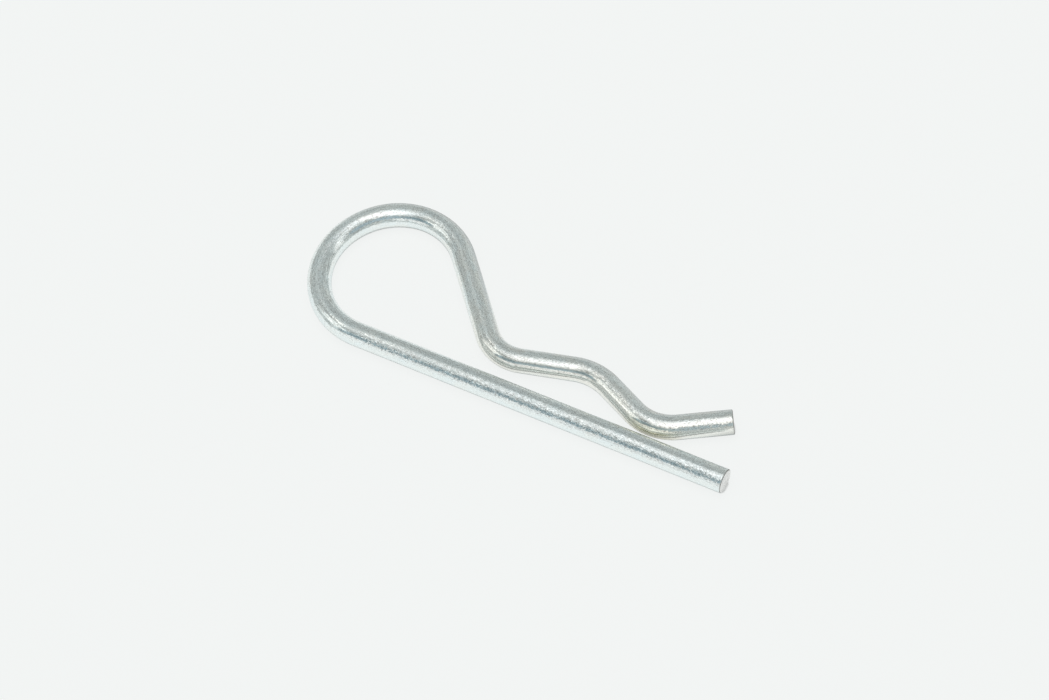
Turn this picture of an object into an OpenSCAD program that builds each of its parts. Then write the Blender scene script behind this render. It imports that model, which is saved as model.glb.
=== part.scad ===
// R clip for a hitch pin: one length of round spring wire, bent in one plane.
// It lies flat on z = 0, with its straight leg along X and its eye at -X.
// The origin is below the middle of the overall length and width.

/* [Wire] */
// Diameter of the wire
wire_d = 4; // [3:0.25:5]
// Broken edge left by the shear at the two cut ends
end_chamfer = 0.15; // [0.05:0.05:0.5]
// How much thinner the wire is drawn where it is bent
bend_loss = 0.02; // [0.02:0.01:0.1]

/* [Straight leg and eye] */
// Overall length, from the outside of the eye to the tip of the straight leg
overall_length = 79.6; // [78:0.2:100]
// Inside diameter of the eye
eye_inside_d = 20; // [16:0.5:24]
// Angle between the straight leg and the spring leg where it leaves the eye
entry_angle = 47.5; // [40:0.5:56]

/* [Waist] */
// Clear gap between the two legs at the waist
waist_gap = 2.1; // [1:0.1:2.8]
// Bend radius of the waist, on the wire's centre line
waist_r = 7.2; // [5:0.1:10]
// Angle at which the spring leg climbs from the waist to the crown
rise_angle = 14; // [11:0.5:18]

/* [Crown] */
// Clear height under the crown, where the hitch pin's shaft sits
crown_gap = 4.75; // [4.2:0.05:6]
// Bend radius of the crown, on the wire's centre line
crown_r = 9.8; // [6:0.1:14]
// Angle at which the spring leg drops from the crown to the grip
fall_angle = 24.5; // [20:0.5:28]

/* [Grip and tail] */
// Clear gap between the two legs at the grip
grip_gap = 0.55; // [0.3:0.05:1]
// Bend radius of the grip, on the wire's centre line
grip_r = 8.2; // [5:0.1:11]
// Angle at which the tail flares away from the straight leg
tail_angle = 30.5; // [20:0.5:40]
// Straight length of the tail
tail_length = 8.6; // [5:0.1:12]

/* [Quality] */
// Facets in a full turn of the wire's section
section_fn = 48; // [24:8:96]
// Facets in a full turn of a bend
bend_fn = 144; // [72:24:288]

/* [Hidden] */
zinc = [0.72, 0.74, 0.74];
wire_r = wire_d / 2;
eye_r = eye_inside_d / 2 + wire_r;
leg_length = overall_length - eye_r - wire_r;
tip_x = overall_length / 2;
leg_y = -eye_r;
// how far a bend runs into the straight wire at each end
bend_lap = 0.1;
// how far each straight run of the spring leg has to go, for the gaps above
entry_drop = eye_r * (1 + cos(entry_angle)) - waist_r * (1 - cos(entry_angle));
entry_length = (entry_drop - wire_d - waist_gap) / sin(entry_angle);
rise_height = crown_gap - waist_gap;
rise_length = (rise_height - (crown_r + waist_r) * (1 - cos(rise_angle))) / sin(rise_angle);
fall_height = crown_gap - grip_gap;
fall_length = (fall_height - (crown_r + grip_r) * (1 - cos(fall_angle))) / sin(fall_angle);

// Cut end of the wire with its edge broken, from the wire's end face forward
module cut_end() {
    rotate([0, 90, 0])
        cylinder(h = end_chamfer, d1 = wire_d, d2 = wire_d - 2 * end_chamfer, $fn = section_fn);
}

// Straight run of wire along +X, with the next piece at its far end
module run(length) {
    rotate([0, 90, 0])
        cylinder(h = length, d = wire_d, $fn = section_fn);
    translate([length, 0, 0])
        children();
}

// Bend of the wire in the clip's plane: side 1 turns left and side -1 turns right.
// It runs a little way into the straight runs before and after it.
module bend(side, r, angle) {
    lap = bend_lap / r * 180 / PI;
    translate([0, side * r, 0]) {
        rotate([0, 0, side > 0 ? -90 - lap : 90 - angle - lap])
            rotate_extrude(angle = angle + 2 * lap, $fn = bend_fn)
                translate([r, 0])
                    circle(d = wire_d - bend_loss, $fn = section_fn);
        rotate([0, 0, side * angle])
            translate([0, -side * r, 0])
                children();
    }
}

// The whole clip, bent in order from the tip of the straight leg to the tail
module r_clip() {
    color(zinc)
        translate([tip_x - end_chamfer, leg_y, wire_r]) {
            cut_end();
            rotate([0, 0, 180])
                run(leg_length - end_chamfer)
                bend(-1, eye_r, 180 + entry_angle)
                run(entry_length)
                bend(1, waist_r, entry_angle + rise_angle)
                run(rise_length)
                bend(-1, crown_r, rise_angle + fall_angle)
                run(fall_length)
                bend(1, grip_r, fall_angle + tail_angle)
                run(tail_length - end_chamfer)
                cut_end();
        }
}

r_clip();
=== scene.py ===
import bpy
import math
from mathutils import Matrix, Vector


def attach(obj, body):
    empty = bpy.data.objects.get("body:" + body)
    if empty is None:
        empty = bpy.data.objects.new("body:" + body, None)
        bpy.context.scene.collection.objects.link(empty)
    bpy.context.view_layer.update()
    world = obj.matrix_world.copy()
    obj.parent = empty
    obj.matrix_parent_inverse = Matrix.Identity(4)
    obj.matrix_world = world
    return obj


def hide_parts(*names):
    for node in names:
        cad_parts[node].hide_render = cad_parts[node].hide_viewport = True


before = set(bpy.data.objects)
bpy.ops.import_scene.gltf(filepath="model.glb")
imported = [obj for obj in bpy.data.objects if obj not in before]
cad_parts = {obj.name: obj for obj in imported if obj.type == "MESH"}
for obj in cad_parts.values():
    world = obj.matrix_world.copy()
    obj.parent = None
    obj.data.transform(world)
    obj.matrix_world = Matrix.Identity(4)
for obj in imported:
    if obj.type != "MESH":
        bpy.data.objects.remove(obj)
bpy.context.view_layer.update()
scene = bpy.context.scene
mm = 0.001


# helpers for node trees

def addNode(tree, kind, **settings):
    node = tree.nodes.new(kind)
    for key, value in settings.items():
        setattr(node, key, value)
    return node


def feed(tree, socket, value):
    # a socket is linked in, anything else is set as the input's own value
    if hasattr(value, "is_output"):
        tree.links.new(value, socket)
    else:
        socket.default_value = value


def maths(tree, operation, a, b=None, c=None, clamp=False):
    node = addNode(tree, "ShaderNodeMath", operation=operation, use_clamp=clamp)
    for socket, value in zip(node.inputs, (a, b, c)):
        if value is not None:
            feed(tree, socket, value)
    return node.outputs[0]


def total(tree, first, *others):
    for value in others:
        first = maths(tree, "ADD", first, value)
    return first


def product(tree, first, *others):
    for value in others:
        first = maths(tree, "MULTIPLY", first, value)
    return first


def leftOf(tree, share):
    # what a share leaves of 1
    return maths(tree, "SUBTRACT", 1.0, share)


def distanceTo(tree, value, mark):
    return maths(tree, "ABSOLUTE", maths(tree, "SUBTRACT", value, mark))


def vectorMaths(tree, operation, a, b=None, scale=None):
    node = addNode(tree, "ShaderNodeVectorMath", operation=operation)
    feed(tree, node.inputs[0], a)
    if b is not None:
        feed(tree, node.inputs[1], b)
    if scale is not None:
        feed(tree, node.inputs["Scale"], scale)
    return node.outputs["Value" if operation == "DOT_PRODUCT" else "Vector"]


def parted(tree, vector):
    node = addNode(tree, "ShaderNodeSeparateXYZ")
    feed(tree, node.inputs[0], vector)
    return node.outputs["X"], node.outputs["Y"], node.outputs["Z"]


def remap(tree, value, fromLow, fromHigh, toLow=0.0, toHigh=1.0, kind="SMOOTHSTEP"):
    node = addNode(tree, "ShaderNodeMapRange", interpolation_type=kind)
    for name, x in (("Value", value), ("From Min", fromLow), ("From Max", fromHigh),
                    ("To Min", toLow), ("To Max", toHigh)):
        feed(tree, node.inputs[name], x)
    return node.outputs["Result"]


def cellsOf(tree, place, size):
    # a place in mm, counted in cells of a size along the wire and across it
    along, across = size
    return vectorMaths(tree, "MULTIPLY", place, (1 / along, 1 / across, 1 / across))


def lumps(tree, place, size, seed, detail=2.0, roughness=0.5):
    # noise in 0 to 1, with lumps of a size in mm along the wire and across it
    node = addNode(tree, "ShaderNodeTexNoise", noise_dimensions="4D")
    feed(tree, node.inputs["Vector"], cellsOf(tree, place, size))
    for name, value in (("W", seed), ("Scale", 1.0), ("Detail", detail), ("Roughness", roughness)):
        feed(tree, node.inputs[name], value)
    return node.outputs["Fac"]


def blendColour(tree, share, a, b):
    node = addNode(tree, "ShaderNodeMix", data_type="RGBA")
    feed(tree, node.inputs["Factor"], share)
    for socket, colour in zip((s for s in node.inputs if s.type == "RGBA"), (a, b)):
        feed(tree, socket, colour if hasattr(colour, "is_output") else (*colour, 1.0))
    return next(s for s in node.outputs if s.type == "RGBA")


# the bent wire, in millimetres and degrees, in order from the straight leg's tip to the tail

wire = {
    "diameter": 3.98,       # as thin as it is drawn in the bends
    "stockDiameter": 4.0,
    "overallLength": 79.6,
    "eyeInside": 20.0,
    "entryAngle": 47.5,
    "waistGap": 2.1, "waistRadius": 7.2,
    "riseAngle": 14.0,
    "crownGap": 4.75, "crownRadius": 9.8,
    "fallAngle": 24.5,
    "gripGap": 0.55, "gripRadius": 8.2,
    "tailAngle": 30.5, "tailLength": 8.6,
    "ringSpacing": 0.19,    # along the wire
    "sectionPoints": 96,    # around the wire
    "endRound": (0.10, 0.24),    # broken edge at the two cut ends, under and on top
    "endRings": (0.0, 0.04, 0.12, 0.25, 0.45, 0.7, 1.0),    # shares of the edge on top
    "reliefHeight": 0.005,       # unevenness left by drawing the wire
    "waves": (3.2, 1.3), "wavesShare": 0.6,         # its long lumps, along the wire and across it
    "ripples": (1.0, 0.55), "ripplesShare": 0.4,    # and its short ones
    "pinFade": (0.10, 0.5),      # where a pin's mark fades out, in lengths of the mark
    "pinFacing": 0.2,            # spots that face a pin less than this are clear of its mark
    "sharpAngle": 30.0,
    "seed": 4.0,
}


def wireSteps(w):
    # each step is (length, signed turn in radians): a straight run has no turn, a left turn is positive
    d = w["stockDiameter"]
    eyeRadius = w["eyeInside"] / 2 + d / 2
    angles = ("entryAngle", "riseAngle", "fallAngle", "tailAngle")
    entry, rise, fall, tail = (math.radians(w[name]) for name in angles)

    def loss(radius, angle):
        # how much of a climb the bend itself takes up
        return radius * (1 - math.cos(angle))

    def bend(radius, angle):
        return radius * abs(angle), angle

    entryDrop = eyeRadius * (1 + math.cos(entry)) - loss(w["waistRadius"], entry) - d - w["waistGap"]
    riseClimb = w["crownGap"] - w["waistGap"] - loss(w["crownRadius"] + w["waistRadius"], rise)
    fallDrop = w["crownGap"] - w["gripGap"] - loss(w["crownRadius"] + w["gripRadius"], fall)
    return {
        "leg": (w["overallLength"] - eyeRadius - d / 2, 0.0),
        "eye": bend(eyeRadius, -(math.pi + entry)),
        "entry": (entryDrop / math.sin(entry), 0.0),
        "waist": bend(w["waistRadius"], entry + rise),
        "rise": (riseClimb / math.sin(rise), 0.0),
        "crown": bend(w["crownRadius"], -(rise + fall)),
        "fall": (fallDrop / math.sin(fall), 0.0),
        "grip": bend(w["gripRadius"], fall + tail),
        "tail": (w["tailLength"], 0.0),
    }


def pointAlong(steps, start, heading, distance):
    x, y = start
    left = distance
    for length, turn in steps.values():
        part = min(left, length)
        if turn:
            radius = length / turn
            swept = part / radius
            x += radius * (math.sin(heading + swept) - math.sin(heading))
            y -= radius * (math.cos(heading + swept) - math.cos(heading))
            heading += swept
        else:
            x += part * math.cos(heading)
            y += part * math.sin(heading)
        left -= part
        if left <= 0:
            break
    return x, y


steps = wireSteps(wire)
starts, middles = {}, {}    # where each run or bend starts along the wire, and its middle
wireLength = 0.0
for name, (length, turn) in steps.items():
    starts[name] = wireLength
    middles[name] = wireLength + length / 2
    wireLength += length

ringCount = round(wireLength / wire["ringSpacing"])
endRings = [wire["endRound"][1] * share for share in wire["endRings"]]
innerRings = [wireLength * i / ringCount for i in range(2, ringCount - 1)]    # clear of the broken edges
rings = endRings + innerRings + [wireLength - d for d in reversed(endRings)]
tip = (wire["overallLength"] / 2, -(wire["eyeInside"] + wire["stockDiameter"]) / 2)

pathData = bpy.data.curves.new("wirePath", "CURVE")
pathData.dimensions = "3D"
spline = pathData.splines.new("POLY")
spline.points.add(len(rings) - 1)
for point, distance in zip(spline.points, rings):
    x, y = pointAlong(steps, tip, math.pi, distance)
    point.co = (x * mm, y * mm, wire["stockDiameter"] / 2 * mm, 1.0)
path = bpy.data.objects.new("wirePath", pathData)
scene.collection.objects.link(path)
print("wire path:", len(rings), "rings,", round(wireLength, 1), "mm of wire")


# bright zinc plate over drawn spring wire, lengths in mm
# a side is in degrees round the wire: 0 is the right-hand side on the way to the tail, 90 the top

zinc = {
    "bright": (0.890, 0.922, 0.912),
    "cool": (0.842, 0.905, 0.918),
    "straw": (0.905, 0.893, 0.850),
    "warm": (0.925, 0.895, 0.830),
    # colour of the painted shade in the narrow gap between the grip and the straight leg
    "gripGapShade": (0.93, 0.895, 0.755),
    "dull": (0.66, 0.665, 0.645),
    "speck": (0.32, 0.285, 0.265),
    "pit": (0.16, 0.165, 0.165),
    "cutFace": (0.985, 0.968, 0.958),
    "cutTorn": (0.56, 0.54, 0.53),
    "cutRim": (0.27, 0.25, 0.235),
    "metallic": 0.9, "edgeTint": 0.88,
    "polish": 0.10,     # roughness of the clean plate, and what each kind of spot adds to it
    "rougher": {"mottle": 0.24, "specks": 0.10, "pits": 0.35, "torn": 0.12, "cut": 0.25},
    "seed": 7.0,
    "patterns": {
        # size along the wire and across it, seed step, detail, roughness, where the spots start and are full
        "stretches": ((7.0, 2.6), 1, 2.0, 0.5, (0.36, 0.62)),
        "cool": ((3.0, 1.3), 4, 3.0, 0.6, (0.42, 0.62)),
        "straw": ((4.0, 1.5), 5, 3.0, 0.6, (0.42, 0.62)),
        "specks": ((0.30, 0.20), 6, 2.0, 0.5, (0.52, 0.68)),
        "mottle": ((0.24, 0.17), 8, 2.0, 0.6, (0.42, 0.66)),
        "patches": ((4.0, 1.2), 9, 3.0, 0.6, (0.36, 0.60)),
        "torn": ((1.0, 0.55), 11, 4.0, 0.65, (0.40, 0.62)),
        "shear": ((1.0, 1.0), 12, 2.0, 0.5, (0.40, 0.64)),
    },
    "relief": {
        # size along the wire and across it, seed step, detail, roughness, height
        "waves": ((0.30, 0.15), 0, 2.0, 0.55, 0.005),
        "lines": ((16.0, 0.15), 2, 3.0, 0.5, 0.003),
        "grain": ((0.26, 0.20), 3, 1.5, 0.5, 0.005),
        "streaks": ((2.2, 0.17), 10, 2.0, 0.5, 0.016),
    },
    # crystals of the plating: size, tilt over their whole range, least share of it in a calm stretch, and how
    # their borders wander, in lumps to a mm and in cells
    "flake": (0.30, 0.17), "flakeTilt": 0.13, "calmTilt": 0.5, "wanderFine": 3.0, "wanderFar": 0.5,
    "pitSpacing": (1 / 0.7, 1.0), "pitRadius": 0.13, "pitShare": 0.16, "pitDepth": 0.03, "pitLeast": 0.001,
    # smoother inside the eye, on the spring leg's side towards the straight leg, and on the flanks
    "insideFrom": (0.1, 1.4), "flankFrom": (-1.3, -0.3), "flankSmooth": 0.85,
    "eyeFrom": (starts["eye"] + 4, starts["eye"] + 14), "eyeSmooth": 0.65,
    "springFrom": (starts["waist"] - 6, starts["waist"]), "springSmooth": 0.75,
    "tailFrom": (starts["tail"] - 3, starts["tail"] + 1), "tailShare": 0.2,
    # streaks where the bending tool slid
    "rubbedAt": starts["eye"] + 2.5, "rubbedReach": (2.5, 5.5), "rubbedSmooth": 0.8,
    "rubbedSide": 125, "rubbedFacing": (0.70, 0.92),
    "scuffs": [
        # name, side, from and to along the wire, fade, tilt
        ("leg", 128, -10.0, starts["eye"] - 1.0, 7.0, 0.7),
        ("eye", 48, starts["eye"] + 23.0, starts["eye"] + 36.0, 2.5, 0.6),
        ("tail", 48, starts["tail"] - 2.0, wireLength + 10.0, 2.0, 0.6),
    ],
    "scuffFacing": (0.93, 0.985), "scuffLeast": 0.25, "scuffSpecks": 0.45,
    "speckShare": 0.48, "dullShare": 0.25,
    # tints: cooler on the straight leg, warmer on the spring leg's inner side, and painted shade, a
    # yellow-brown tint, at the grip where it faces the straight leg across the narrow gap
    "coolUntil": (starts["eye"] - 8, starts["waist"] + 10), "coolLeg": 0.34, "coolPatches": 0.60,
    "strawPatches": 0.70, "strawLoss": 0.6,
    "warmFrom": (starts["waist"] - 4, starts["waist"] + 2), "warmDown": (-0.1, 0.7), "warmShare": 0.6,
    # painted shade: where it sits along the wire, how far it reaches, which side faces the straight leg, and
    # how strong it is
    "gripGapShadeAt": middles["grip"], "gripGapShadeReach": (1.5, 5.0), "gripGapShadeAcross": (0.9, 1.6), "gripGapShadeShare": 0.85,
    # cut ends: the bare sheared face and a dark rim round it, by their distance from the end
    "faceFade": (0.004, 0.012), "rimFade": (0.08, 0.16), "rimShare": 0.8,
    "tornShare": 0.24, "shearShare": 0.22, "shearHeight": 0.012, "shearSize": (0.10, 1.4),
}


def towards(tree, place, side):
    # how squarely a spot faces a side of the wire, 1 at its middle
    angle = math.radians(side)
    radius = wire["stockDiameter"] / 2
    return vectorMaths(tree, "DOT_PRODUCT", place, (0.0, math.cos(angle) / radius, -math.sin(angle) / radius))


def spots(tree, z, place, name, least=0.0, most=1.0):
    size, seedStep, detail, roughness, band = z["patterns"][name]
    return remap(tree, lumps(tree, place, size, z["seed"] + seedStep, detail, roughness), *band, least, most)


def raised(tree, z, place, name, share):
    size, seedStep, detail, roughness, height = z["relief"][name]
    return product(tree, lumps(tree, place, size, z["seed"] + seedStep, detail, roughness), share, height)


def scuffLines(tree, z, place, along):
    patches = spots(tree, z, place, "patches", z["scuffLeast"])
    scuff = 0.0
    for name, side, first, last, fade, tilt in z["scuffs"]:
        line = product(tree, remap(tree, towards(tree, place, side), *z["scuffFacing"], 0.0, tilt),
                       remap(tree, along, first - fade, first + fade),
                       remap(tree, along, last - fade, last + fade, 1.0, 0.0))
        scuff = maths(tree, "MULTIPLY_ADD", line, patches, scuff)
    return scuff


def crystalFacing(tree, z, place, tiltShare):
    # the surface's own direction, tilted another way on each crystal
    middle = (0.5, 0.5, 0.5)
    stray = addNode(tree, "ShaderNodeTexNoise")
    feed(tree, stray.inputs["Vector"], vectorMaths(tree, "SCALE", place, scale=z["wanderFine"]))
    stray.inputs["Scale"].default_value = 1.0
    wander = vectorMaths(tree, "SUBTRACT", stray.outputs["Color"], middle)
    wander = vectorMaths(tree, "SCALE", wander, scale=z["wanderFar"])
    crystals = addNode(tree, "ShaderNodeTexVoronoi")
    crystals.inputs["Scale"].default_value = 1.0
    feed(tree, crystals.inputs["Vector"], vectorMaths(tree, "ADD", cellsOf(tree, place, z["flake"]), wander))
    tilt = vectorMaths(tree, "SUBTRACT", crystals.outputs["Color"], middle)
    tilt = vectorMaths(tree, "SCALE", tilt, scale=product(tree, tiltShare, z["flakeTilt"]))
    facing = addNode(tree, "ShaderNodeNewGeometry").outputs["Normal"]
    return vectorMaths(tree, "NORMALIZE", vectorMaths(tree, "ADD", facing, tilt))


def openPits(tree, z, place):
    # a few pits of different widths, 1 at their deepest
    pits = addNode(tree, "ShaderNodeTexVoronoi")
    pits.inputs["Scale"].default_value = 1.0
    feed(tree, pits.inputs["Vector"], cellsOf(tree, place, z["pitSpacing"]))
    luck = parted(tree, pits.outputs["Color"])[0]
    widest = z["pitRadius"] / z["pitSpacing"][1]
    reach = remap(tree, luck, 1 - z["pitShare"], 1.0, 0.0, widest, kind="LINEAR")
    isPit = maths(tree, "GREATER_THAN", reach, z["pitLeast"])
    reach = maths(tree, "MAXIMUM", reach, z["pitLeast"])
    return product(tree, remap(tree, pits.outputs["Distance"], 0.0, reach, 1.0, 0.0), isPit)


def cutEnds(tree, z, place, fromEnd):
    # shares of the sheared face, of the rim round it, and of the face's torn spots and shear lines
    face = remap(tree, fromEnd, *z["faceFade"], 1.0, 0.0)
    rim = remap(tree, fromEnd, *z["rimFade"], 1.0, 0.0)
    rim = maths(tree, "SUBTRACT", rim, face, clamp=True)
    torn = product(tree, spots(tree, z, place, "torn"), face)
    wide, tall = z["shearSize"]
    lined = vectorMaths(tree, "MULTIPLY", place, (0.0, 1 / wide, 1 / tall))
    shear = product(tree, spots(tree, z, lined, "shear"), face)
    return face, rim, torn, shear


def zincTint(tree, z, place, along, across, down, inside):
    # the plate's colour before its spots and cuts, with painted shade at the grip
    coolness = remap(tree, along, *z["coolUntil"], 1.0, 0.0)
    coolShare = maths(tree, "MULTIPLY_ADD", coolness, z["coolLeg"],
                      spots(tree, z, place, "cool", 0.0, z["coolPatches"]))
    strawShare = product(tree, spots(tree, z, place, "straw", 0.0, z["strawPatches"]),
                         leftOf(tree, product(tree, coolness, z["strawLoss"])))
    warmth = product(tree, inside, remap(tree, along, *z["warmFrom"]),
                     remap(tree, down, *z["warmDown"], 1.0, 0.0), z["warmShare"])
    # painted shade on the grip's side that faces the straight leg across the narrow gap
    nearGrip = remap(tree, distanceTo(tree, along, z["gripGapShadeAt"]), *z["gripGapShadeReach"], 1.0, 0.0)
    gripGapShade = product(tree, nearGrip, remap(tree, across, *z["gripGapShadeAcross"]), z["gripGapShadeShare"])
    colour = z["bright"]
    for share, name in ((coolShare, "cool"), (strawShare, "straw"), (warmth, "warm"), (gripGapShade, "gripGapShade")):
        colour = blendColour(tree, share, colour, z[name])
    return colour


def zincMaterial(z, length):
    material = bpy.data.materials.new("brightZinc")
    material.use_nodes = True
    tree = material.node_tree
    shader = tree.nodes["Principled BSDF"]
    drawn = addNode(tree, "ShaderNodeAttribute", attribute_name="drawnWire")
    place = vectorMaths(tree, "SCALE", drawn.outputs["Vector"], scale=1 / mm)
    along, across, down = parted(tree, place)

    # how rugged the plate is, from 0 to 1
    inside = remap(tree, across, *z["insideFrom"])
    inEye = remap(tree, along, *z["eyeFrom"], 0.0, z["eyeSmooth"])
    onSpring = remap(tree, along, *z["springFrom"], 0.0, z["springSmooth"])
    onTail = remap(tree, along, *z["tailFrom"], 1.0, z["tailShare"])
    smooth = product(tree, inside, maths(tree, "MAXIMUM", inEye, onSpring), onTail)
    flanks = remap(tree, down, *z["flankFrom"], 0.0, z["flankSmooth"])
    rubbed = product(tree, remap(tree, distanceTo(tree, along, z["rubbedAt"]), *z["rubbedReach"], 1.0, 0.0),
                     remap(tree, towards(tree, place, z["rubbedSide"]), *z["rubbedFacing"]))
    rugged = product(tree, leftOf(tree, maths(tree, "MAXIMUM", smooth, flanks)),
                     leftOf(tree, product(tree, rubbed, z["rubbedSmooth"])))

    scuff = scuffLines(tree, z, place, along)
    stretches = product(tree, spots(tree, z, place, "stretches", z["calmTilt"]), rugged)
    tiltShare = maths(tree, "ADD", stretches, scuff)
    pits = openPits(tree, z, place)
    fromEnd = maths(tree, "MINIMUM", along, maths(tree, "SUBTRACT", length, along))
    face, rim, torn, shear = cutEnds(tree, z, place, fromEnd)
    specks = product(tree, spots(tree, z, place, "specks"), leftOf(tree, flanks))
    mottle = product(tree, spots(tree, z, place, "mottle"), rugged)

    colour = zincTint(tree, z, place, along, across, down, inside)
    speckShare = product(tree, specks, maths(tree, "MULTIPLY_ADD", scuff, z["scuffSpecks"], z["speckShare"]))
    for share, name in ((product(tree, mottle, z["dullShare"]), "dull"),
                        (speckShare, "speck"),
                        (pits, "pit"),
                        (face, "cutFace"),
                        (product(tree, torn, z["tornShare"]), "cutTorn"),
                        (product(tree, shear, z["shearShare"]), "cutTorn"),
                        (product(tree, rim, z["rimShare"]), "cutRim")):
        colour = blendColour(tree, share, colour, z[name])

    roughness = z["polish"]
    cut = maths(tree, "MAXIMUM", face, rim)
    for share, name in ((mottle, "mottle"), (specks, "specks"), (pits, "pits"), (torn, "torn"), (cut, "cut")):
        roughness = maths(tree, "MULTIPLY_ADD", share, z["rougher"][name], roughness)

    bump = addNode(tree, "ShaderNodeBump")
    bump.inputs["Distance"].default_value = mm
    feed(tree, bump.inputs["Normal"], crystalFacing(tree, z, place, tiltShare))
    feed(tree, bump.inputs["Height"], total(tree,
                                            raised(tree, z, place, "waves", tiltShare),
                                            raised(tree, z, place, "lines", rugged),
                                            raised(tree, z, place, "grain", 1.0),
                                            raised(tree, z, place, "streaks", rubbed),
                                            product(tree, shear, z["shearHeight"]),
                                            product(tree, pits, -z["pitDepth"])))

    feed(tree, shader.inputs["Base Color"], colour)
    feed(tree, shader.inputs["Roughness"], roughness)
    feed(tree, shader.inputs["Normal"], bump.outputs["Normal"])
    shader.inputs["Metallic"].default_value = z["metallic"]
    shader.inputs["Specular Tint"].default_value = (z["edgeTint"], z["edgeTint"], z["edgeTint"], 1.0)
    return material


brightZinc = zincMaterial(zinc, wireLength)
print("zinc finish:", len(brightZinc.node_tree.nodes), "nodes")


# flats that the bending pins press into the wire

pinMarks = [
    # name, distance along the wire in mm, side in degrees, length and depth in mm
    ("eyeStart", starts["eye"] + 1.5, 150, 5.0, 0.045),
    ("eyeEnd", starts["entry"] - 1.0, 25, 4.0, 0.035),
    ("waistInside", middles["waist"], 165, 3.2, 0.05),
    ("waistOutside", middles["waist"] - 1.0, 40, 3.6, 0.035),
    ("crownInside", middles["crown"] + 0.3, 12, 2.6, 0.06),
    ("gripOutside", middles["grip"], 35, 3.0, 0.035),
    ("gripInside", middles["grip"] + 0.4, 160, 3.0, 0.04),
]


def storeValue(tree, geometry, name, value, kind="FLOAT_VECTOR"):
    node = addNode(tree, "GeometryNodeStoreNamedAttribute", data_type=kind, domain="POINT")
    node.inputs["Name"].default_value = name
    feed(tree, node.inputs["Geometry"], geometry)
    feed(tree, node.inputs["Value"], value)
    return node.outputs["Geometry"]


def storedValue(tree, name, kind="FLOAT_VECTOR"):
    node = addNode(tree, "GeometryNodeInputNamedAttribute", data_type=kind)
    node.inputs["Name"].default_value = name
    return node.outputs["Attribute"]


def brokenEdge(tree, given, down):
    # how far the cut ends' rounded edge goes in, more on top than underneath
    topShare = maths(tree, "SUBTRACT", 0.5, maths(tree, "DIVIDE", down, given["Wire Diameter"]))
    edge = remap(tree, topShare, 0.0, 1.0, given["Edge Under"], given["Edge Top"], kind="LINEAR")
    fromEnd = maths(tree, "DIVIDE", storedValue(tree, "fromEnd", "FLOAT"), edge)
    deep = maths(tree, "SUBTRACT", 1.0, fromEnd, clamp=True)
    rounded = maths(tree, "SQRT", leftOf(tree, product(tree, deep, deep)))
    return product(tree, leftOf(tree, rounded), edge)


def pinPress(tree, w, radius, along, at, side, length, depth):
    # how far one flat goes in, as a chord across the round section
    toSide = (math.cos(math.radians(side)), -math.sin(math.radians(side)), 0.0)
    section = storedValue(tree, "section")
    facing = maths(tree, "DIVIDE", vectorMaths(tree, "DOT_PRODUCT", section, toSide), radius)
    fadeFrom, fadeTo = (share * length for share in w["pinFade"])
    press = remap(tree, distanceTo(tree, along, at), fadeFrom, fadeTo, depth * mm, 0.0)
    facing = maths(tree, "MAXIMUM", facing, w["pinFacing"])
    chord = maths(tree, "DIVIDE", maths(tree, "SUBTRACT", radius, press), facing)
    return maths(tree, "SUBTRACT", radius, chord)


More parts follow.
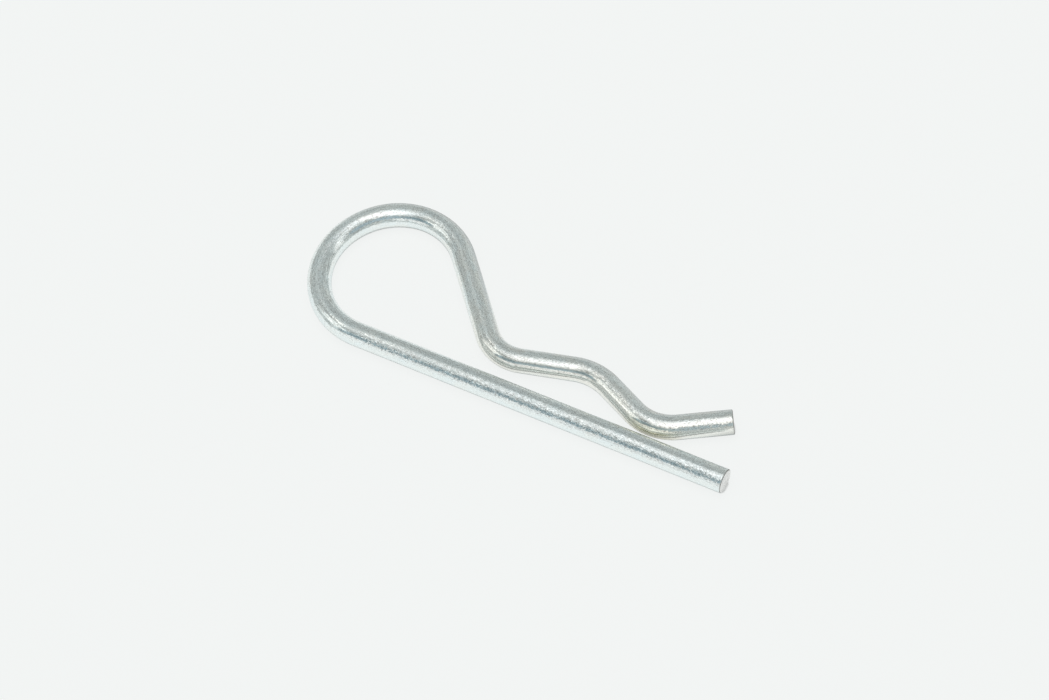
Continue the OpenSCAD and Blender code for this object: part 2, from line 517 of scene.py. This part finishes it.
def sweepTree(w, marks):
    # sweeps the round section along the path, breaks the cut edges and keeps the unbent wire's coordinates
    tree = bpy.data.node_groups.new("sweepWire", "GeometryNodeTree")
    tree.interface.new_socket("Geometry", in_out="INPUT", socket_type="NodeSocketGeometry")
    tree.interface.new_socket("Geometry", in_out="OUTPUT", socket_type="NodeSocketGeometry")
    for name, kind in (("Wire Diameter", "NodeSocketFloat"), ("Section Points", "NodeSocketInt"),
                       ("Edge Under", "NodeSocketFloat"), ("Edge Top", "NodeSocketFloat"),
                       ("Relief Height", "NodeSocketFloat"), ("Seed", "NodeSocketFloat"),
                       ("Finish", "NodeSocketMaterial")):
        tree.interface.new_socket(name, in_out="INPUT", socket_type=kind)
    given = addNode(tree, "NodeGroupInput").outputs
    made = addNode(tree, "NodeGroupOutput")
    radius = maths(tree, "MULTIPLY", given["Wire Diameter"], 0.5)

    # the centre line keeps its own place and its distance from both ends
    position = addNode(tree, "GeometryNodeInputPosition").outputs["Position"]
    spot = addNode(tree, "GeometryNodeSplineParameter").outputs["Length"]
    whole = addNode(tree, "GeometryNodeSplineLength").outputs["Length"]
    nearEnd = maths(tree, "MINIMUM", spot, maths(tree, "SUBTRACT", whole, spot))
    curve = storeValue(tree, given["Geometry"], "alongWire", spot, "FLOAT")
    curve = storeValue(tree, curve, "fromEnd", nearEnd, "FLOAT")
    curve = storeValue(tree, curve, "axisPoint", position)
    upright = addNode(tree, "GeometryNodeSetCurveNormal", mode="Z_UP")
    feed(tree, upright.inputs["Curve"], curve)

    ring = addNode(tree, "GeometryNodeCurvePrimitiveCircle")
    feed(tree, ring.inputs["Resolution"], given["Section Points"])
    feed(tree, ring.inputs["Radius"], radius)
    sweep = addNode(tree, "GeometryNodeCurveToMesh")
    feed(tree, sweep.inputs["Curve"], upright.outputs["Curve"])
    feed(tree, sweep.inputs["Profile Curve"], storeValue(tree, ring.outputs["Curve"], "section", position))
    sweep.inputs["Fill Caps"].default_value = True

    # the same point on the wire before it was bent: along it, then to the right and down
    across, down = parted(tree, storedValue(tree, "section"))[:2]
    unbent = addNode(tree, "ShaderNodeCombineXYZ")
    for socket, value in zip(unbent.inputs, (storedValue(tree, "alongWire", "FLOAT"), across, down)):
        feed(tree, socket, value)
    mesh = storeValue(tree, sweep.outputs["Mesh"], "drawnWire", unbent.outputs[0])

    # how far each point goes in: broken edge at the ends, unevenness from drawing, pin marks
    drawn = vectorMaths(tree, "SCALE", storedValue(tree, "drawnWire"), scale=1 / mm)
    waves = lumps(tree, drawn, w["waves"], given["Seed"], detail=1.0)
    ripples = lumps(tree, drawn, w["ripples"], maths(tree, "ADD", given["Seed"], 1.0), detail=1.0)
    uneven = total(tree, product(tree, waves, w["wavesShare"]), product(tree, ripples, w["ripplesShare"]))
    inward = maths(tree, "MULTIPLY_ADD", uneven, given["Relief Height"], brokenEdge(tree, given, down))
    along = maths(tree, "MULTIPLY", storedValue(tree, "alongWire", "FLOAT"), 1 / mm)
    for name, *mark in marks:
        inward = maths(tree, "MAXIMUM", inward, pinPress(tree, w, radius, along, *mark))

    outward = vectorMaths(tree, "SUBTRACT", position, storedValue(tree, "axisPoint"))
    outward = vectorMaths(tree, "NORMALIZE", outward)
    offset = vectorMaths(tree, "SCALE", outward, scale=maths(tree, "MULTIPLY", inward, -1.0))
    move = addNode(tree, "GeometryNodeSetPosition")
    feed(tree, move.inputs["Geometry"], mesh)
    feed(tree, move.inputs["Offset"], offset)
    mesh = move.outputs["Geometry"]
    for name in ("axisPoint", "section", "fromEnd", "alongWire"):
        drop = addNode(tree, "GeometryNodeRemoveAttribute")
        drop.inputs["Name"].default_value = name
        feed(tree, drop.inputs["Geometry"], mesh)
        mesh = drop.outputs["Geometry"]

    # smooth all over but for the edge of the cut faces
    smooth = addNode(tree, "GeometryNodeSetShadeSmooth", domain="FACE")
    feed(tree, smooth.inputs["Geometry"], mesh)
    angle = addNode(tree, "GeometryNodeInputMeshEdgeAngle").outputs["Unsigned Angle"]
    sharp = addNode(tree, "GeometryNodeSetShadeSmooth", domain="EDGE")
    sharp.inputs["Shade Smooth"].default_value = False
    feed(tree, sharp.inputs["Geometry"], smooth.outputs["Geometry"])
    feed(tree, sharp.inputs["Selection"], maths(tree, "GREATER_THAN", angle, math.radians(w["sharpAngle"])))

    real = addNode(tree, "GeometryNodeRealizeInstances")
    feed(tree, real.inputs["Geometry"], sharp.outputs["Geometry"])
    finish = addNode(tree, "GeometryNodeSetMaterial")
    feed(tree, finish.inputs["Geometry"], real.outputs["Geometry"])
    feed(tree, finish.inputs["Material"], given["Finish"])
    feed(tree, made.inputs["Geometry"], finish.outputs["Geometry"])
    return tree


def sweptMesh(holder, tree, values, name):
    modifier = holder.modifiers.new("sweep", "NODES")
    modifier.node_group = tree
    for item in tree.interface.items_tree:
        if item.item_type == "SOCKET" and item.in_out == "INPUT" and item.name in values:
            modifier[item.identifier] = values[item.name]
    graph = bpy.context.evaluated_depsgraph_get()
    finished = holder.evaluated_get(graph)
    mesh = bpy.data.meshes.new_from_object(finished, preserve_all_data_layers=True, depsgraph=graph)
    holder.modifiers.remove(modifier)
    bpy.data.objects.remove(holder)
    mesh.name = name
    piece = bpy.data.objects.new(name, mesh)
    scene.collection.objects.link(piece)
    return piece


rClip = sweptMesh(path, sweepTree(wire, pinMarks), {
    "Wire Diameter": wire["diameter"] * mm,
    "Section Points": wire["sectionPoints"],
    "Edge Under": wire["endRound"][0] * mm,
    "Edge Top": wire["endRound"][1] * mm,
    "Relief Height": wire["reliefHeight"] * mm,
    "Seed": wire["seed"],
    "Finish": brightZinc,
}, "rClip")
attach(rClip, "root")
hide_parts("r_clip")
print("clip:", len(rClip.data.polygons), "faces, attributes", [a.name for a in rClip.data.attributes])


# camera at the photo's angle

shot = {
    "target": (0.462, -3.637, 2.0),   # mm
    "turn": 37.13,                    # degrees from +Y to the view's own heading
    "elevation": 57.97,
    "roll": -11.20,
    "distance": 463.65,               # mm
    "lens": 100.0,
    "sensor": 36.0,
    "sees": (0.01, 20.0),             # nearest and farthest, in metres
}


def viewAxes(s):
    turn = Matrix.Rotation(math.radians(s["turn"]), 3, "Z")
    elevation, roll = math.radians(s["elevation"]), math.radians(s["roll"])
    forward = Vector((0, math.cos(elevation), -math.sin(elevation)))
    right = Vector((1, 0, 0))
    up = Vector((0, math.sin(elevation), math.cos(elevation)))
    rolledRight = right * math.cos(roll) + up * math.sin(roll)
    rolledUp = up * math.cos(roll) - right * math.sin(roll)
    return turn @ rolledRight, turn @ rolledUp, turn @ forward


right, up, forward = viewAxes(shot)
cameraData = bpy.data.cameras.new("camera")
cameraData.lens = shot["lens"]
cameraData.sensor_width = shot["sensor"]
cameraData.clip_start, cameraData.clip_end = shot["sees"]
camera = bpy.data.objects.new("camera", cameraData)
scene.collection.objects.link(camera)
eyePoint = Vector(shot["target"]) * mm - forward * shot["distance"] * mm
camera.matrix_world = Matrix.Translation(eyePoint) @ Matrix((right, up, -forward)).transposed().to_4x4()
scene.camera = camera
print("camera", round(shot["distance"]), "mm from the clip")


# pale floor, which shows its tone to the camera and in the metal, and keeps some of the clip's shadow; its
# glow carries a painted contact shadow along the wire

floorLook = {
    "size": 6.0,
    "sunk": 0.01,            # mm below the clip, so that the two never share a plane
    "tone": (0.890, 0.907, 0.899),
    "evenSeen": 0.94,        # share of the tone that takes no shadow, as the camera sees it
    "evenMirrored": 0.55,    # and as the metal mirrors it
    "nearGain": 1.04,        # the mirrored floor, in front of the clip
    "farGain": 0.64,         # and behind its spring leg, where the light falls off
    "fallAlong": (0.25, 0.97),    # which way is behind, in X and Y
    "fall": (0.0, 7.0),      # where it starts and ends that way, in mm from the middle
    "contactShadow": 0.8,          # painted contact shadow: a dark line where the wire meets the floor, and how far it reaches in mm
    "reachSeen": 0.35,
    "reachMirrored": 1.2,
    "contactSamples": 4,
}


def floorMaterial(f):
    material = bpy.data.materials.new("paleFloor")
    material.use_nodes = True
    tree = material.node_tree
    tree.nodes.remove(tree.nodes["Principled BSDF"])
    ray = addNode(tree, "ShaderNodeLightPath").outputs
    mirrored = maths(tree, "MAXIMUM", ray["Is Glossy Ray"], ray["Is Transmission Ray"])

    # only the mirrored floor falls off
    spot = addNode(tree, "ShaderNodeTexCoord").outputs["Object"]
    behind = vectorMaths(tree, "DOT_PRODUCT", spot, (*(c / mm for c in f["fallAlong"]), 0.0))
    lit = remap(tree, behind, *f["fall"], f["nearGain"], f["farGain"])
    lit = maths(tree, "MULTIPLY_ADD", mirrored, lit, leftOf(tree, mirrored))
    tone = vectorMaths(tree, "SCALE", f["tone"], scale=lit)

    # painted contact shadow: ambient occlusion darkens the floor's glow close to the wire
    openness = addNode(tree, "ShaderNodeAmbientOcclusion", samples=f["contactSamples"])
    reach = remap(tree, mirrored, 0.0, 1.0, f["reachSeen"] * mm, f["reachMirrored"] * mm, kind="LINEAR")
    feed(tree, openness.inputs["Distance"], reach)
    shade = remap(tree, openness.outputs["AO"], 0.0, 1.0, 1 - f["contactShadow"], 1.0, kind="LINEAR")

    matt = addNode(tree, "ShaderNodeBsdfDiffuse")
    glow = addNode(tree, "ShaderNodeEmission")
    feed(tree, matt.inputs["Color"], tone)
    feed(tree, glow.inputs["Color"], vectorMaths(tree, "SCALE", tone, scale=shade))
    even = total(tree, product(tree, ray["Is Camera Ray"], f["evenSeen"]),
                 product(tree, mirrored, f["evenMirrored"]))
    mix = addNode(tree, "ShaderNodeMixShader")
    for socket, value in zip(mix.inputs, (even, matt.outputs[0], glow.outputs[0])):
        feed(tree, socket, value)
    feed(tree, tree.nodes["Material Output"].inputs["Surface"], mix.outputs[0])
    return material


half = floorLook["size"] / 2
floorCorners = [(-half, -half, 0), (half, -half, 0), (half, half, 0), (-half, half, 0)]
floorMesh = bpy.data.meshes.new("floor")
floorMesh.from_pydata(floorCorners, [], [(0, 1, 2, 3)])
floorMesh.materials.append(floorMaterial(floorLook))
floor = bpy.data.objects.new("floor", floorMesh)
floor.location.z = -floorLook["sunk"] * mm
scene.collection.objects.link(floor)
print("floor", floorLook["size"], "m wide")


# light tent: grey walls and soft panels that fade out at their edges
# azimuth is from the view's own heading, to the right; sizes and edges are per unit of distance

tent = {
    "walls": (0.405, 0.442, 0.434),
    "wallFoot": (0.52, 0.555, 0.54),
    "footHeight": 0.50,      # sine of the elevation at which the walls' foot has faded out
    "folds": 10.0,           # lumps per unit of direction
    "foldDepth": 0.85,       # and how far they lighten or darken the walls
    "foldBand": (0.3, 0.7), "foldSeed": 3.0,
    "panels": [
        # name, azimuth, elevation, half width, half height, soft edge, tone
        ("front", 180, 37, 0.9, 0.21, 0.05, (0.33, 0.425, 0.465)),
        ("frontLeft", -114, 36, 0.40, 0.22, 0.05, (0.20, 0.285, 0.32)),
        ("lowLeft", -138, 10, 0.42, 0.26, 0.08, (0.885, 0.905, 0.895)),
        ("left", -86, 37, 0.22, 0.23, 0.06, (0.94, 0.97, 0.94)),
        ("leftStrip", -54, 61, 0.16, 0.05, 0.03, (1.22, 1.23, 1.18)),
        ("right", 110, 36, 0.18, 0.75, 0.08, (0.88, 0.91, 0.90)),
    ],
    "lampTurn": 19,          # the oval lamp overhead, its long way turned from the view's heading
    "lamps": [
        # name, shift across and towards the camera, half width, half length, soft edge, tone
        ("softbox", -0.03, 0.18, 0.325, 0.525, 0.60, (1.36, 1.37, 1.37)),
    ],
    "grazing": 0.02,         # panels end where they are seen more edge-on than this
}
heading = Matrix.Rotation(math.radians(shot["turn"]), 3, "Z")


def planePlace(tree, look, azimuth, elevation):
    # where a direction meets a plane that faces the azimuth and elevation: across, up, and whether it does
    a, e = math.radians(azimuth), math.radians(elevation)
    aim = heading @ Vector((math.sin(a) * math.cos(e), math.cos(a) * math.cos(e), math.sin(e)))
    across = heading @ Vector((math.cos(a), -math.sin(a), 0))
    rise = across.cross(aim)
    squarely = vectorMaths(tree, "DOT_PRODUCT", look, tuple(aim))
    ahead = maths(tree, "MAXIMUM", squarely, tent["grazing"])
    places = [maths(tree, "DIVIDE", vectorMaths(tree, "DOT_PRODUCT", look, tuple(axis)), ahead)
              for axis in (across, rise)]
    return *places, maths(tree, "GREATER_THAN", squarely, tent["grazing"])


def panelShare(tree, look, azimuth, elevation, halfWidth, halfHeight, edge):
    across, up, share = planePlace(tree, look, azimuth, elevation)
    for off, half in ((across, halfWidth), (up, halfHeight)):
        off = maths(tree, "ABSOLUTE", off)
        share = product(tree, share, remap(tree, off, half - edge, half + edge, 1.0, 0.0))
    return share


def lampShare(tree, look, turn, shiftAcross, shiftUp, halfWidth, halfLength, edge):
    across, up, share = planePlace(tree, look, turn, 90)
    across = maths(tree, "DIVIDE", maths(tree, "SUBTRACT", across, shiftAcross), halfWidth)
    up = maths(tree, "DIVIDE", maths(tree, "SUBTRACT", up, shiftUp), halfLength)
    reach = maths(tree, "SQRT", total(tree, product(tree, across, across), product(tree, up, up)))
    return product(tree, share, remap(tree, reach, 1 - edge, 1 + edge, 1.0, 0.0))


world = bpy.data.worlds.new("tent")
scene.world = world
world.use_nodes = True
tree = world.node_tree
look = addNode(tree, "ShaderNodeTexCoord").outputs["Generated"]
height = parted(tree, look)[2]
light = blendColour(tree, remap(tree, height, 0.0, tent["footHeight"]), tent["wallFoot"], tent["walls"])
for name, *panel, tone in tent["panels"]:
    light = blendColour(tree, panelShare(tree, look, *panel), light, tone)
foldSize = 1 / tent["folds"]
folds = lumps(tree, look, (foldSize, foldSize), tent["foldSeed"])
folds = remap(tree, folds, *tent["foldBand"], 1 - tent["foldDepth"], 1 + tent["foldDepth"], kind="LINEAR")
light = vectorMaths(tree, "SCALE", light, scale=folds)
for name, *lamp, tone in tent["lamps"]:
    light = blendColour(tree, lampShare(tree, look, tent["lampTurn"], *lamp), light, tone)
feed(tree, tree.nodes["Background"].inputs["Color"], light)
tree.nodes["Background"].inputs["Strength"].default_value = 1.0

# overhead light that evens out the level and isn't mirrored, in metres and watts
key = {"size": 0.5, "height": 0.6, "watts": 1.8}
keyData = bpy.data.lights.new("key", "AREA")
keyData.size = key["size"]
keyData.energy = key["watts"]
keyLamp = bpy.data.objects.new("key", keyData)
keyLamp.location.z = key["height"]
keyLamp.visible_glossy = False
scene.collection.objects.link(keyLamp)
print("tent:", len(tent["panels"]), "panels,", len(tent["lamps"]), "oval lamp and a key light")

scene.view_settings.view_transform = "Standard"
